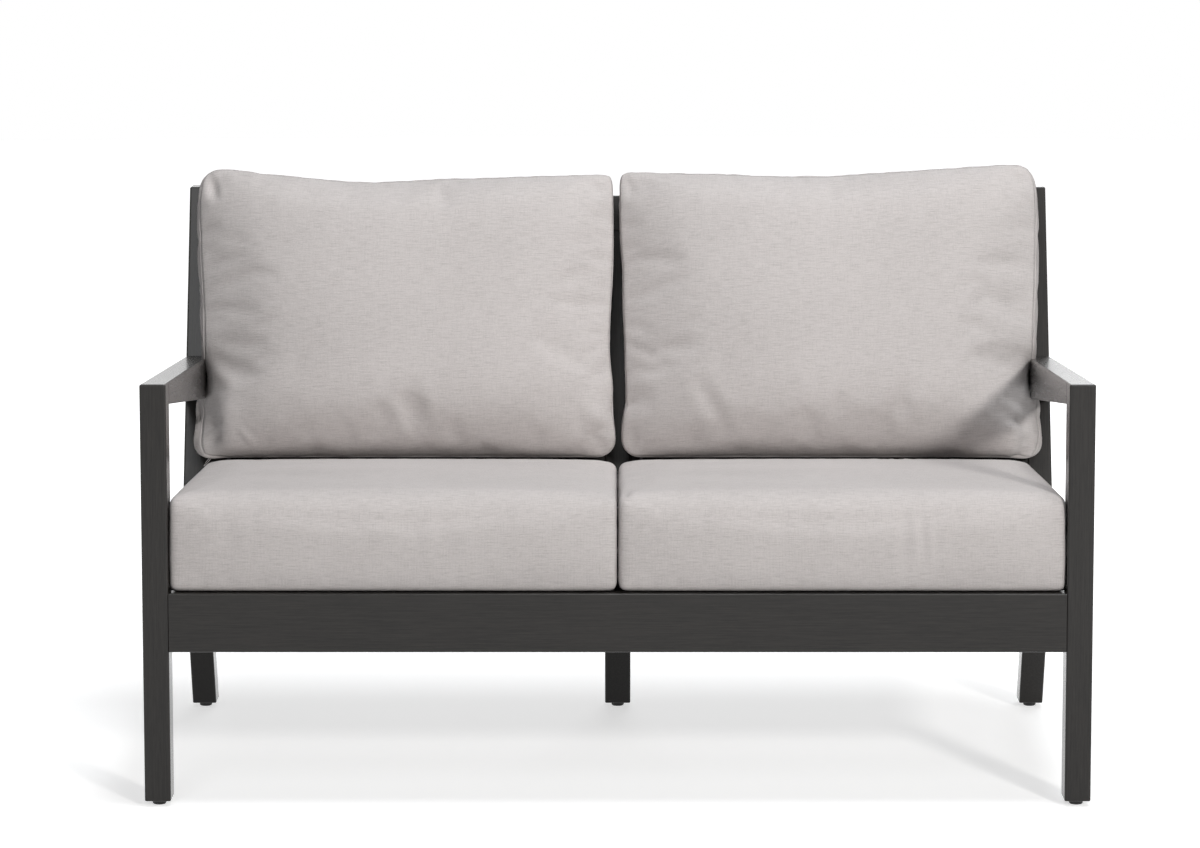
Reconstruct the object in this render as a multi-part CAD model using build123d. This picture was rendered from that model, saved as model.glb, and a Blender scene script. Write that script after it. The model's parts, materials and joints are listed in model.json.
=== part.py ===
from build123d import *
from math import cos, radians, sin, tan
import os

# Patio loveseat: a welded aluminium tube frame with four loose cushions in zipped covers.
# X runs to the right as seen from the front, Y to the back and Z up, in millimetres.
# The origin lies on the floor, under the middle of the frame's width and depth.
# A side profile is drawn in pairs: the depth behind the fronts of the front legs, and the height.

# Overall sizes
overall_width = 1372.0
overall_depth = 851.0
post_height = 838.0
arm_height = 617.5

# Frame angles, in degrees
back_rake = 20.5
rear_leg_splay = 25.5
seat_slope = 3.0
arm_top_fall = 3.3
arm_under_fall = 6.4

# Frame tubes
tube_wall = 2.0
edge_round = 3.0
foot_round = 2.0
leg_width = 38.0
center_leg_width = 41.0
front_leg_depth = 50.0
back_post_depth = 45.0
bend_height = 303.5
arm_front_thickness = 32.0

# Seat deck
rail_top = 313.5
front_rail_height = 86.0
front_rail_thickness = 32.0
side_rail_height = 70.0
bearer_width = 32.0
bearer_height = 50.0
rear_rail_height = 45.0
rear_rail_thickness = 25.0
rear_rail_setback = 12.0
seat_slat_count = 6
seat_slat_width = 50.0
slat_thickness = 12.0
slat_wall = 1.6
slat_round = 2.0

# Back panel
top_rail_drop = 12.5
top_rail_height = 60.0
lower_rail_height = 50.0
lower_rail_rise = 95.0
back_rail_thickness = 25.0
back_slat_count = 6
back_slat_width = 45.0

# Feet
foot_height = 8.0
foot_plate = 4.0
boss_height = 16.0
boss_radius = 7.5
stud_radius = 4.0
stud_clearance = 0.05
stud_tip_gap = 2.0
stud_bed = 2.5
glide_radius = 10.0
glide_gap = 0.3
glide_chamfer = 1.5

# Cushion covers and fillings
cover_wall = 1.2
filling_gap = 0.3
soft_gap = 0.3
side_gap = 0.6

# Seat cushions
seat_cushion_gap = 2.4
seat_cushion_setback = 12.0
seat_cushion_rear_gap = 9.2
seat_boxing = 136.0
seat_crown = 13.0
seat_corner = 30.0
seat_edge = 10.0
seat_swell = 3.0
seat_side_draw = 5.0
seat_front_draw = 4.0

# Back cushions
back_boxing = 118.0
back_crown = 32.0
back_corner = 26.0
back_low_corner = 12.0
back_edge = 14.0
back_swell = 3.0
back_outer_rise = 38.0
back_inner_rise = 30.0
back_middle_low = 3.5
back_middle_high = 5.0
back_corner_reach = 12.0
back_lower_gap = 2.0
back_top_draw = 12.0
back_side_draw = 5.0
back_inner_draw = 6.0

# Rising bands of a cushion's lower edge: height and inset, both as shares of its edge
edge_shares = ((0.0, 1.0), (0.3, 0.35), (1.0, 0.0))
# Rising bands of a crown: height as a share of the crown, inset as a share of the short side
crown_shares = ((0.22, 0.02), (0.52, 0.07), (0.80, 0.16), (0.95, 0.28), (1.0, 0.40))
# How much a crown's corners round off with the distance from the cushion's side
round_off_share = 0.8
# How far over a flat band of the cover each zip lies
seat_zip_share = 0.5
back_zip_share = 0.36

# Zips
zip_end_gap = 16.0
zip_tape_width = 24.0
zip_tape_height = 0.8
zip_teeth_width = 6.0
zip_teeth_height = 1.8
slider_gap = 0.3
slider_length = 11.0
slider_width = 9.0
slider_base = 1.6
slider_round = 2.0
bridge_length = 5.0
bridge_width = 2.4
bridge_height = 4.4
pin_rise = 2.6
pin_radius = 1.05
pin_clearance = 0.07
pull_side_gap = 0.3
pull_arm_width = 1.1
pull_arm_length = 6.0
pull_thickness = 1.4
pull_eye_radius = 1.7
pull_length = 20.0
cut_overrun = 5.0

# Places worked out from the sizes above
inner_half = overall_width / 2 - leg_width
center_half = center_leg_width / 2
post_level_depth = back_post_depth / cos(radians(back_rake))
post_round_loss = edge_round * (tan(radians(back_rake)) + 1 / cos(radians(back_rake)) - 1)
post_back_depth = overall_depth + post_round_loss
post_front_depth = post_back_depth - post_level_depth
bend_depth = post_front_depth - (post_height - bend_height) * tan(radians(back_rake))
foot_depth = bend_depth + (bend_height - foot_height) * tan(radians(rear_leg_splay))
foot_level_depth = back_post_depth / cos(radians(rear_leg_splay))
bend = (bend_depth, bend_height)
foot_front = (foot_depth, foot_height)
foot_back = (foot_depth + foot_level_depth, foot_height)
post_top_front = (post_front_depth, post_height)
post_top_back = (post_back_depth, post_height)
top_rail_top = post_height - top_rail_drop
seat_cushion_width = inner_half - side_gap - seat_cushion_gap / 2
seat_cushion_run = (bend_depth - seat_cushion_setback) / cos(radians(seat_slope))
seat_cushion_depth = seat_cushion_run - seat_cushion_rear_gap
seat_short_side = min(seat_cushion_width, seat_cushion_depth)
back_outer_top = post_height + back_outer_rise
back_inner_top = post_height + back_inner_rise
pin_height = zip_teeth_height + slider_gap + slider_base + pin_rise

# The two sides of the frame, and a solid that stands on its own middle
sides = (("left", -1), ("right", 1))
on_base = (Align.CENTER, Align.CENTER, Align.MIN)


def from_front(depth):
    """The Y of a place this far behind the front of the front legs."""
    return depth - overall_depth / 2


# The seat deck's plane: local Y runs down the slope to the back, local Z is the deck's normal
deck = Plane(
    origin=(0, from_front(front_rail_thickness), rail_top),
    x_dir=(1, 0, 0),
    z_dir=(0, sin(radians(seat_slope)), cos(radians(seat_slope))),
)
# The back panel's front plane: local Y runs up the rake, local Z points at the sitter's back
back = Plane(
    origin=(0, from_front(bend_depth), bend_height),
    x_dir=(1, 0, 0),
    z_dir=(0, -cos(radians(back_rake)), sin(radians(back_rake))),
)


def meet(a, b, c, d):
    """The point where the line through a and b crosses the line through c and d."""
    ux, uz = b[0] - a[0], b[1] - a[1]
    vx, vz = d[0] - c[0], d[1] - c[1]
    share = ((c[0] - a[0]) * vz - (c[1] - a[1]) * vx) / (ux * vz - uz * vx)
    return (a[0] + ux * share, a[1] + uz * share)


def shifted(point, angle, length):
    """A profile point moved by a length, at an angle below the level line to the back."""
    return (point[0] + length * cos(radians(angle)), point[1] - length * sin(radians(angle)))


def moved_in(points, amounts):
    """An outline with each side moved inwards by its own amount, or outwards where it is negative."""
    count = len(points)
    pairs = [(points[i], points[(i + 1) % count]) for i in range(count)]
    turn = sum(a[0] * b[1] - b[0] * a[1] for a, b in pairs)
    side = 1 if turn > 0 else -1
    lines = []
    for (a, b), amount in zip(pairs, amounts):
        run = ((b[0] - a[0]) ** 2 + (b[1] - a[1]) ** 2) ** 0.5
        nx, nz = -(b[1] - a[1]) / run * side, (b[0] - a[0]) / run * side
        lines.append(((a[0] + nx * amount, a[1] + nz * amount), (b[0] + nx * amount, b[1] + nz * amount)))
    return [meet(*lines[i - 1], *lines[i]) for i in range(count)]


def profile_prism(points, x_low, x_high):
    """A side profile drawn out from one X to another."""
    outline = Polygon(*[(from_front(depth), height) for depth, height in points], align=None)
    return extrude(Plane.YZ.offset(x_low) * outline, amount=x_high - x_low, dir=(1, 0, 0))


def tube_void(points, open_sides, x_low, x_high):
    """The hollow of a tube that lies in its side profile, running out past its open sides."""
    amounts = [-cut_overrun if i in open_sides else tube_wall for i in range(len(points))]
    return profile_prism(moved_in(points, amounts), x_low + tube_wall, x_high - tube_wall)


def profile_tube(points, open_sides, x_low, x_high, round_corners=(), is_leg=False):
    """A rounded hollow tube that lies in its side profile. Side i runs from point i to the next."""
    body = profile_prism(points, x_low, x_high)
    rounded = []
    for i, (depth, height) in enumerate(points):
        if i in open_sides:
            continue
        other = points[(i + 1) % len(points)]
        for x in (x_low, x_high):
            middle = (x, from_front((depth + other[0]) / 2), (height + other[1]) / 2)
            rounded.append(body.edges().sort_by_distance(middle)[0])
    for i in round_corners:
        corner = ((x_low + x_high) / 2, from_front(points[i][0]), points[i][1])
        rounded.append(body.edges().sort_by_distance(corner)[0])
    body = fillet(rounded, edge_round)
    if is_leg:
        body = fillet(body.faces().sort_by(Axis.Z)[0].edges(), foot_round)
    return body - tube_void(points, open_sides, x_low, x_high)


def cross_tube(points, x_low, x_high):
    """A rounded hollow tube that runs along X, open at both ends."""
    body = profile_prism(points, x_low, x_high)
    body = fillet(body.edges().filter_by(Axis.X), edge_round)
    hollow = moved_in(points, [tube_wall] * len(points))
    return body - profile_prism(hollow, x_low - cut_overrun, x_high + cut_overrun)


def flat_tube(length, width):
    """A slat: a flat hollow tube along X, with its top face at height zero, open at both ends."""
    middle = Pos(0, 0, -slat_thickness / 2)
    body = Box(length, width, slat_thickness)
    body = fillet(body.edges().filter_by(Axis.X), slat_round)
    hollow = Box(length + cut_overrun, width - 2 * slat_wall, slat_thickness - 2 * slat_wall)
    return middle * (body - hollow)


def deck_height(depth):
    """The height of the deck's plane at a depth."""
    return rail_top - (depth - front_rail_thickness) * tan(radians(seat_slope))


def on_rear_leg(point, fall):
    """Where a line from a point, falling to the back, meets the front of the bent rear leg."""
    beyond = shifted(point, fall, overall_depth)
    upper = meet(point, beyond, bend, post_top_front)
    lower = meet(point, beyond, bend, foot_front)
    return upper if upper[1] >= bend_height else lower


def rear_ends(top, bottom, fall_top, fall_bottom):
    """The end of a member against the bent rear leg, from its top down."""
    upper = on_rear_leg(top, fall_top)
    lower = on_rear_leg(bottom, fall_bottom)
    return [upper, bend, lower] if lower[1] < bend_height < upper[1] else [upper, lower]


def mitre_back():
    """The rear end of the mitre between a lower leg and the post above it."""
    post_foot = (bend_depth + post_level_depth, bend_height)
    leg_head = (bend_depth + foot_level_depth, bend_height)
    return meet(post_foot, post_top_back, leg_head, foot_back)


def front_leg(side):
    """The front leg on one side, -1 for the left and 1 for the right, closed at its sloping top."""
    x_low, x_high = sorted((side * inner_half, side * overall_width / 2))
    top_back = (front_leg_depth, arm_height - front_leg_depth * tan(radians(arm_top_fall)))
    points = [(0, foot_height), (0, arm_height), top_back, (front_leg_depth, foot_height)]
    return profile_tube(points, (3,), x_low, x_high, round_corners=(1,), is_leg=True)


def arm(side):
    """An arm that gets deeper towards the back, from the front leg to the raked post."""
    x_low, x_high = sorted((side * inner_half, side * overall_width / 2))
    top = (front_leg_depth, arm_height - front_leg_depth * tan(radians(arm_top_fall)))
    under = (top[0], top[1] - arm_front_thickness)
    end = rear_ends(top, under, arm_top_fall, arm_under_fall)
    points = [under, top] + end
    open_sides = (0,) + tuple(range(2, len(points) - 1))
    return profile_tube(points, open_sides, x_low, x_high)


def rear_leg(x_low, x_high):
    """A lower rear leg, raked back to the floor from its mitre."""
    return profile_tube(rear_leg_points(), (1, 3), x_low, x_high, is_leg=True)


def rear_leg_points():
    """The side profile of every lower rear leg."""
    return [bend, foot_front, foot_back, mitre_back()]


def back_post(side):
    """An outer back post, closed at its level top."""
    x_low, x_high = sorted((side * inner_half, side * overall_width / 2))
    points = [bend, post_top_front, post_top_back, mitre_back()]
    return profile_tube(points, (3,), x_low, x_high, round_corners=(1, 2))


def top_rail_low():
    """How far up the rake the underside of the top rail lies."""
    return (top_rail_top - bend_height) / cos(radians(back_rake)) - top_rail_height


def center_post():
    """The middle back post, which ends under the top rail."""
    rise = top_rail_low()
    head = (bend_depth + rise * sin(radians(back_rake)), bend_height + rise * cos(radians(back_rake)))
    points = [bend, head, shifted(head, back_rake, back_post_depth), mitre_back()]
    return profile_tube(points, (1, 3), -center_half, center_half)


def front_rail():
    """The front seat rail, flush with the fronts of the legs."""
    low = rail_top - front_rail_height
    points = [(0, low), (0, rail_top), (front_rail_thickness, rail_top), (front_rail_thickness, low)]
    return cross_tube(points, -inner_half, inner_half)


def sloping_rail(start, height, x_low, x_high):
    """A tube under the deck's plane, from a depth to the rear leg behind it."""
    top = (start, deck_height(start))
    under = (start, top[1] - height)
    end = rear_ends(top, under, seat_slope, seat_slope)
    points = [under, top] + end
    open_sides = (0,) + tuple(range(2, len(points) - 1))
    return profile_tube(points, open_sides, x_low, x_high)


def rear_rail(side):
    """A rear seat rail between the middle leg and an outer rear leg."""
    start = on_rear_leg((front_rail_thickness, rail_top), seat_slope)[0] + rear_rail_setback
    top = deck_height(start)
    end = start + rear_rail_thickness
    points = [(start, top - rear_rail_height), (start, top), (end, top), (end, top - rear_rail_height)]
    x_low, x_high = sorted((side * center_half, side * inner_half))
    return cross_tube(points, x_low, x_high)


def seat_slats(side):
    """The slats of one seat, level with the deck's plane, from the bearer to the side rail."""
    run = (on_rear_leg((front_rail_thickness, rail_top), seat_slope)[0] - front_rail_thickness) / cos(
        radians(seat_slope)
    )
    gap = (run - seat_slat_count * seat_slat_width) / (seat_slat_count + 1)
    length = inner_half - bearer_width / 2
    middle = side * (inner_half + bearer_width / 2) / 2
    slats = []
    for i in range(seat_slat_count):
        place = gap * (i + 1) + seat_slat_width * i + seat_slat_width / 2
        slats.append(deck * Pos(middle, place, 0) * flat_tube(length, seat_slat_width))
    return slats


def back_rail(x_low, x_high, low, height):
    """A rail of the back panel, from a rise along the rake upwards, flush with the posts' fronts."""
    lift = Pos((x_low + x_high) / 2, low + height / 2, -back_rail_thickness / 2)
    body = Box(x_high - x_low, height, back_rail_thickness)
    body = fillet(body.edges().filter_by(Axis.X), edge_round)
    hollow = Box(
        x_high - x_low + cut_overrun, height - 2 * tube_wall, back_rail_thickness - 2 * tube_wall
    )
    return back * lift * (body - hollow)


def back_slats(side):
    """The slats of one half of the back panel, from the lower rail to the top rail."""
    low = lower_rail_rise + lower_rail_height
    length = top_rail_low() - low
    span = inner_half - center_half
    gap = (span - back_slat_count * back_slat_width) / (back_slat_count + 1)
    slats = []
    for i in range(back_slat_count):
        place = center_half + gap * (i + 1) + back_slat_width * i + back_slat_width / 2
        upright = back * Pos(side * place, low + length / 2, 0) * Rot(0, 0, 90)
        slats.append(upright * flat_tube(length, back_slat_width))
    return slats


def foot_places():
    """Each foot: its name, the X and the depth of its middle, and the hollow of its leg."""
    edge = overall_width / 2
    middle = (inner_half + edge) / 2
    rear = foot_depth + foot_level_depth / 2
    front_points = [(0, foot_height), (0, arm_height), (front_leg_depth, arm_height)]
    front_points.append((front_leg_depth, foot_height))
    places = []
    for name, side in sides:
        x_low, x_high = sorted((side * inner_half, side * edge))
        front_void = tube_void(front_points, (3,), x_low, x_high)
        places.append(("front_" + name, side * middle, front_leg_depth / 2, front_void))
        rear_void = tube_void(rear_leg_points(), (1, 3), x_low, x_high)
        places.append(("rear_" + name, side * middle, rear, rear_void))
    center_void = tube_void(rear_leg_points(), (1, 3), -center_half, center_half)
    places.append(("rear_center", 0, rear, center_void))
    return places


def foot_plates():
    """The welded plates that close the legs, each with a tapped boss for its glide."""
    plates = []
    for _, x, depth, void in foot_places():
        slab = Box(overall_width, overall_depth, foot_plate, align=on_base)
        plate = (Pos(0, 0, foot_height) * slab) & void
        base = Pos(x, from_front(depth), foot_height + foot_plate)
        boss = base * Cylinder(boss_radius, boss_height, align=on_base)
        bore_length = foot_plate + boss_height + 2 * cut_overrun
        bore = base * Pos(0, 0, (boss_height - foot_plate) / 2)
        plates.append(plate + boss - bore * Cylinder(stud_radius + stud_clearance, bore_length))
    return plates


def glide_pad(x, depth):
    """A round plastic glide, bevelled where it meets the floor, with a bed for its stud."""
    height = foot_height - glide_gap
    pad = Cylinder(glide_radius, height, align=on_base)
    pad = chamfer(pad.edges().group_by(Axis.Z)[0], glide_chamfer)
    bed = Pos(0, 0, stud_bed) * Cylinder(stud_radius, height, align=on_base)
    return Pos(x, from_front(depth), 0) * (pad - bed)


def glide_stud(x, depth):
    """The steel stud that holds a glide in its foot plate."""
    top = foot_height + foot_plate + boss_height - stud_tip_gap
    stud = Cylinder(stud_radius, top - stud_bed, align=on_base)
    return Pos(x, from_front(depth), stud_bed) * stud


def soft_outline(corners, draws, radii):
    """A cushion's outline: rounded corners, and sides drawn in between them by their own amounts."""
    count = len(corners)
    bow_share = 1 - cos(radians(45))
    starts, middles, ends = [], [], []
    for i, corner in enumerate(corners):
        here = Vector(*corner)
        before = (Vector(*corners[i - 1]) - here).normalized() * radii[i]
        after = (Vector(*corners[(i + 1) % count]) - here).normalized() * radii[i]
        starts.append(here + before)
        middles.append(here + (before + after) * bow_share)
        ends.append(here + after)
    edges = []
    for i in range(count):
        edges.append(ThreePointArc(starts[i], middles[i], ends[i]))
        a, b = ends[i], starts[(i + 1) % count]
        inward = Vector(a.Y - b.Y, b.X - a.X).normalized() * draws[i]
        edges.append(ThreePointArc(a, (a + b) / 2 + inward, b) if draws[i] else Line(a, b))
    return make_face(edges)


def soft_bands(boxing, crown, edge, swell, short_side):
    """Heights and insets of a boxed cushion, from its flat face up to the top of its crown."""
    bands = [(edge * rise, edge * inset + swell) for rise, inset in edge_shares]
    bands.append((boxing / 2, 0))
    bands.append((boxing, swell))
    bands += [(boxing + crown * rise, swell + short_side * inset) for rise, inset in crown_shares]
    return bands


def bands_inside(bands, amount, boxing):
    """The bands of the form that lies inside another by an amount."""
    inside = []
    for height, inset in bands:
        lift = amount if height < boxing / 2 else -amount if height > boxing / 2 else 0
        inside.append((height + lift, inset + amount))
    return inside


def crown_at(bands, inset):
    """The height of a crown at a distance from the cushion's side."""
    for (low, near), (high, far) in zip(bands, bands[1:]):
        if near <= inset <= far:
            return low + (high - low) * (inset - near) / (far - near)
    return bands[-1][0]


seat_bands = soft_bands(seat_boxing, seat_crown, seat_edge, seat_swell, seat_short_side)
seat_start = (seat_cushion_setback - front_rail_thickness) / cos(radians(seat_slope))
seat_end = seat_start + seat_cushion_depth


def seat_form(amount):
    """The right seat cushion's form, smaller by an amount all round, straight at its rear."""
    x_low = seat_cushion_gap / 2
    x_high = x_low + seat_cushion_width
    corners = [(x_low, seat_start), (x_high, seat_start), (x_high, seat_end), (x_low, seat_end)]
    sections = []
    for height, inset in bands_inside(seat_bands, amount, seat_boxing):
        keep_share = 1 - 2 * inset / seat_short_side
        side = seat_side_draw * keep_share
        draws = (seat_front_draw * keep_share, side, 0, side)
        radii = [(seat_corner + round_off_share * inset) * keep_share] * len(corners)
        ring = moved_in(corners, [inset] * len(corners))
        sections.append(deck * Pos(0, 0, soft_gap + height) * soft_outline(ring, draws, radii))
    return loft(sections, ruled=True)


def back_base():
    """How far up the rake the back cushion's sloping lower side starts, at the back panel."""
    lean = cos(radians(back_rake - seat_slope))
    full = 2 * soft_gap + seat_boxing + seat_crown
    covered = seat_end - level_depth_at(full) + (back_boxing + soft_gap) / lean
    return rise_at(2 * soft_gap + crown_at(seat_bands, covered))


def level_at(height):
    """Where the back panel's front meets the level at a height over the deck, in the side profile."""
    slope = radians(seat_slope)
    start = (front_rail_thickness + height * sin(slope), rail_top + height * cos(slope))
    return meet(start, shifted(start, seat_slope, overall_depth), bend, post_top_front)


def rise_at(height):
    """How far up the rake the back panel's front meets the level at a height over the deck."""
    return (level_at(height)[1] - bend_height) / cos(radians(back_rake))


def level_depth_at(height):
    """How far down the deck's slope the back panel's front meets the level at a height over the deck."""
    return (level_at(height)[0] - front_rail_thickness - height * sin(radians(seat_slope))) / cos(
        radians(seat_slope)
    )


def back_top(height):
    """How far up the rake the back cushion's front seam has this height."""
    rake = radians(back_rake)
    return (height - bend_height - back_boxing * sin(rake)) / cos(rake)


def back_low_at(depth):
    """How far up the rake the back cushion's lower side lies, at a depth in front of the back panel."""
    return back_base() - (depth + soft_gap) * tan(radians(back_rake - seat_slope))


def back_form(amount):
    """The right back cushion's form, smaller by an amount all round, straight at its lower side."""
    width = inner_half - back_lower_gap - back_middle_low
    short_side = min(width, back_top(back_outer_top) - back_base())
    bands = soft_bands(back_boxing, back_crown, back_edge, back_swell, short_side)
    x_far = inner_half + back_corner_reach
    sections = []
    for depth, inset in bands_inside(bands, amount, back_boxing):
        keep_share = 1 - 2 * inset / short_side
        low = back_low_at(depth)
        corners = [(back_middle_low, low), (inner_half - back_lower_gap, low)]
        corners += [(x_far, back_top(back_outer_top)), (back_middle_high, back_top(back_inner_top))]
        draws = [0] + [draw * keep_share for draw in (back_side_draw, back_top_draw, back_inner_draw)]
        radii = [back_low_corner, back_low_corner, back_corner, back_corner]
        radii = [(radius + round_off_share * inset) * keep_share for radius in radii]
        ring = moved_in(corners, [inset] * len(corners))
        sections.append(back * Pos(0, 0, soft_gap + depth) * soft_outline(ring, draws, radii))
    return loft(sections, ruled=True)


def cushion(form):
    """A cushion's sewn cover and the foam filling inside it."""
    cover = form(0) - form(cover_wall)
    return cover, form(cover_wall + filling_gap)


def zip_plane(base, near, far, share, x):
    """The outward plane of a zip, at a share of the way over a flat band of the cover."""
    a, b = base.from_local_coords((x, *near)), base.from_local_coords((x, *far))
    outward = (b - a).cross(Vector(1, 0, 0))
    return Plane(origin=a + (b - a) * share, x_dir=(1, 0, 0), z_dir=outward)


def seat_zip_plane(x):
    """The plane of a seat cushion's zip, on the lower half of its rear side."""
    near = (seat_end - seat_swell, soft_gap + seat_edge)
    far = (seat_end, soft_gap + seat_boxing / 2)
    return zip_plane(deck, near, far, seat_zip_share, x)


def back_zip_plane(x):
    """The plane of a back cushion's zip, on its lower side near the back panel."""
    near = (back_low_at(back_edge) + back_swell, soft_gap + back_edge)
    far = (back_low_at(back_boxing / 2), soft_gap + back_boxing / 2)
    return zip_plane(back, far, near, 1 - back_zip_share, x)


def zip_track(plane, length):
    """The tape and the closed teeth of a zip."""
    tape = Box(length, zip_tape_width, zip_tape_height, align=on_base)
    return plane * (tape + Box(length, zip_teeth_width, zip_teeth_height, align=on_base))


def zip_slider(plane):
    """A zip's slider, with a bridge on top that is bored for the pull's pin."""
    base = Box(slider_length, slider_width, slider_base, align=on_base)
    base = fillet(base.edges().filter_by(Axis.Z), slider_round)
    bridge = Pos(0, 0, slider_base) * Box(bridge_length, bridge_width, bridge_height, align=on_base)
    bore = Rot(90, 0, 0) * Cylinder(pin_radius + pin_clearance, slider_width)
    slider = base + bridge - Pos(0, 0, slider_base + pin_rise) * bore
    return plane * Pos(0, 0, zip_teeth_height + slider_gap) * slider


def zip_pull(plane, turn):
    """A zip's pull: a pin through the slider's bridge, two arms beside it and a tab."""
    reach = bridge_width / 2 + pull_side_gap
    pin = Rot(90, 0, 0) * Cylinder(pin_radius, 2 * reach + pull_arm_width)
    eye = Rot(90, 0, 0) * Cylinder(pull_eye_radius, pull_arm_width)
    along = (Align.MIN, Align.CENTER, Align.CENTER)
    arm_bar = Box(pull_arm_length + slider_round, pull_arm_width, pull_thickness, align=along)
    tab_length = pull_length - pull_arm_length
    tab_width = 2 * (reach + pull_arm_width)
    tab = Pos(pull_arm_length + tab_length / 2, 0, 0) * Box(tab_length, tab_width, pull_thickness)
    tab = fillet(tab.edges().filter_by(Axis.Z), slider_round)
    pull = pin + tab
    for side in (-1, 1):
        pull += Pos(0, side * (reach + pull_arm_width / 2), 0) * (eye + arm_bar)
    return plane * Pos(0, 0, pin_height) * Rot(0, turn, 0) * pull


def save(name, *solids):
    """Writes the solids of one named sub-part."""
    shapes = [solid for item in solids for solid in item.solids()]
    export_step(shapes[0] if len(shapes) == 1 else Compound(children=shapes), f"parts/{name}.step")


def save_frame():
    """The welded frame: legs, posts, arms, rails, slats and foot plates."""
    save("front_rail", front_rail())
    half = bearer_width / 2
    save("center_bearer", sloping_rail(front_rail_thickness, bearer_height, -half, half))
    save("rear_leg_center", rear_leg(-center_half, center_half))
    save("back_post_center", center_post())
    save("back_top_rail", back_rail(-inner_half, inner_half, top_rail_low(), top_rail_height))
    for name, side in sides:
        x_low, x_high = sorted((side * inner_half, side * overall_width / 2))
        near, far = sorted((side * center_half, side * inner_half))
        save("front_leg_" + name, front_leg(side))
        save("arm_" + name, arm(side))
        save("rear_leg_" + name, rear_leg(x_low, x_high))
        save("back_post_" + name, back_post(side))
        save("side_rail_" + name, sloping_rail(front_leg_depth, side_rail_height, x_low, x_high))
        save("rear_rail_" + name, rear_rail(side))
        save("back_lower_rail_" + name, back_rail(near, far, lower_rail_rise, lower_rail_height))
        save("seat_slats_" + name, *seat_slats(side))
        save("back_slats_" + name, *back_slats(side))
    save("foot_plates", *foot_plates())


def save_glides():
    """Five glides, each a plastic pad on a steel stud that turns in its foot plate."""
    for name, x, depth, _ in foot_places():
        save("glide_pad_" + name, glide_pad(x, depth))
        save("glide_stud_" + name, glide_stud(x, depth))


def save_cushions():
    """Four cushions, each a cover, a filling, a zip, its slider and its pull."""
    seat_x = (seat_cushion_gap / 2, inner_half - side_gap)
    back_x = (back_middle_low, inner_half - back_lower_gap)
    kinds = (
        ("seat_cushion_", seat_form, seat_zip_plane, seat_x, seat_corner, 0),
        ("back_cushion_", back_form, back_zip_plane, back_x, back_low_corner, -90),
    )
    for kind, form, plane_at, ends, corner, turn in kinds:
        cover, filling = cushion(form)
        length = ends[1] - ends[0] - 2 * (corner + zip_end_gap)
        for name, side in sides:
            middle = side * (ends[0] + ends[1]) / 2
            track = plane_at(middle)
            rest = plane_at(middle - length / 2 + slider_length / 2)
            across = [item if side > 0 else mirror(item, about=Plane.YZ) for item in (cover, filling)]
            save(kind + name + "_cover", across[0])
            save(kind + name + "_filling", across[1])
            save(kind + name + "_zip", zip_track(track, length))
            save(kind + name + "_slider", zip_slider(rest))
            save(kind + name + "_pull", zip_pull(rest, turn))
            pin = rest.from_local_coords((0, 0, pin_height))
            print(kind + name, "zip travel", length - slider_length, "pin", pin, "axis", rest.y_dir)


os.makedirs("parts", exist_ok=True)
save_frame()
save_glides()
save_cushions()
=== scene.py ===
import json
import math

import bmesh
import bpy
from bpy.props import FloatProperty, FloatVectorProperty, IntProperty, PointerProperty
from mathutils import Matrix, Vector, noise


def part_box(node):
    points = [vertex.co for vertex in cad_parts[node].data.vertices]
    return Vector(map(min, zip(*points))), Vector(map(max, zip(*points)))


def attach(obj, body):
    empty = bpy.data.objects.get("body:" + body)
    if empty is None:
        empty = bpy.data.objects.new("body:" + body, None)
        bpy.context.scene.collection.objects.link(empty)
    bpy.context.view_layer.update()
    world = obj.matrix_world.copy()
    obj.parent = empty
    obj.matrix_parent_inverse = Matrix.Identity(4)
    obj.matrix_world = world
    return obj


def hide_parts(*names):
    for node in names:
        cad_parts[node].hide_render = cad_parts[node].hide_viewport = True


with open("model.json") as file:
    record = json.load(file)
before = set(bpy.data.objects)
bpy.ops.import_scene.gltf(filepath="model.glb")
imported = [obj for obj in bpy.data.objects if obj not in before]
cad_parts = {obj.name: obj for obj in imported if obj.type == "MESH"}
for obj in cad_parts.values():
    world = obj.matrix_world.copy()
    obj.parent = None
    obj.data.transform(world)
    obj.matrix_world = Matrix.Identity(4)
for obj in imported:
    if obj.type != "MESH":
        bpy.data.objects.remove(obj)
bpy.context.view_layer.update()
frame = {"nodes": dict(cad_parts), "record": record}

bl_info = {
    "name": "Patio Loveseat",
    "version": (1, 0, 0),
    "blender": (4, 5, 0),
    "location": "View3D > Sidebar > Loveseat",
    "description": "Dresses a brushed aluminium patio loveseat with sewn cushions, zips and glides",
    "category": "Object",
}

SIDES = (("left", -1), ("right", 1))
FRONT = -0.4255
BACK_RAKE = math.radians(20.5)
LEG_SPLAY = math.radians(25.5)
SEAT_SLOPE = math.radians(3)
ARM_FALL = math.radians(4.5)
# Height of an arm's top and underside at the front, and how steeply the underside falls to the back
ARM_TOP, ARM_UNDERSIDE, ARM_UNDER_FALL = 0.6165, 0.5855, 0.0890
# Back and up to the upper rear edge of the front rail, where the slope of the deck starts
DECK = (-0.3935, 0.3135)
# Height of the seat's top up the back panel, and how it falls away from the panel
SEAT_TOP, SEAT_TOP_FALL = 0.13154, 0.3153


def number(name, description, default, **more):
    """A setting that is a number."""
    return FloatProperty(name=name, description=description, default=default, **more)


def length(name, description, default, **more):
    """A setting that is a length in metres."""
    return number(name, description, default, subtype="DISTANCE", unit="LENGTH", **more)


def tint(name, description, default):
    """A setting that is a colour."""
    return FloatVectorProperty(name=name, description=description, default=default, subtype="COLOR", size=3,
                               min=0, max=1)


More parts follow.
